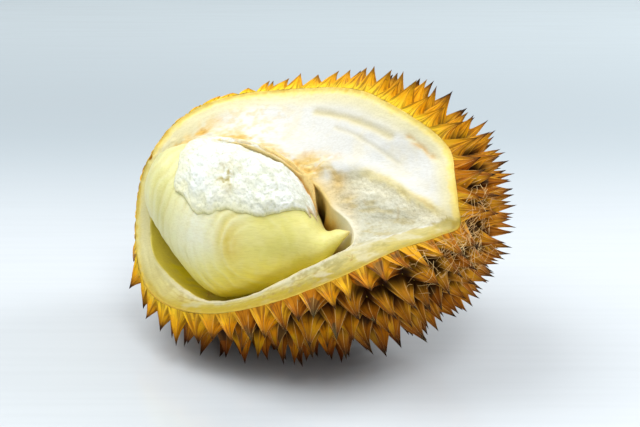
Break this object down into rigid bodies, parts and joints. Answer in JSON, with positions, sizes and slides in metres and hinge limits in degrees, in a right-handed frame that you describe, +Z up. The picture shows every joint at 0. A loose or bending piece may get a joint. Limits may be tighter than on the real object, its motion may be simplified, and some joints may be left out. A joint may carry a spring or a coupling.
{
  "type": "opened durian",
  "caption": "Durian opened along its seams and lying on its spines, with a spiny husk, white pith and a creamy yellow lobe of flesh in its chamber.",
  "frame": {"origin": "centre of the fruit's bounding box, at the surface it lies on", "axes": "+X along the fruit toward the pointed end of its opening, -Y the side its opening leans toward, +Z up"},
  "size_m": [0.1966, 0.158, 0.1418],
  "materials": {
    "husk": "matte",
    "flesh": "satin",
    "pith": "matte"
  },
  "bodies": {
    "root": {"husk": "husk", "flesh_lobe": "flesh", "torn_pith": "pith"}
  },
  "joints": []
}
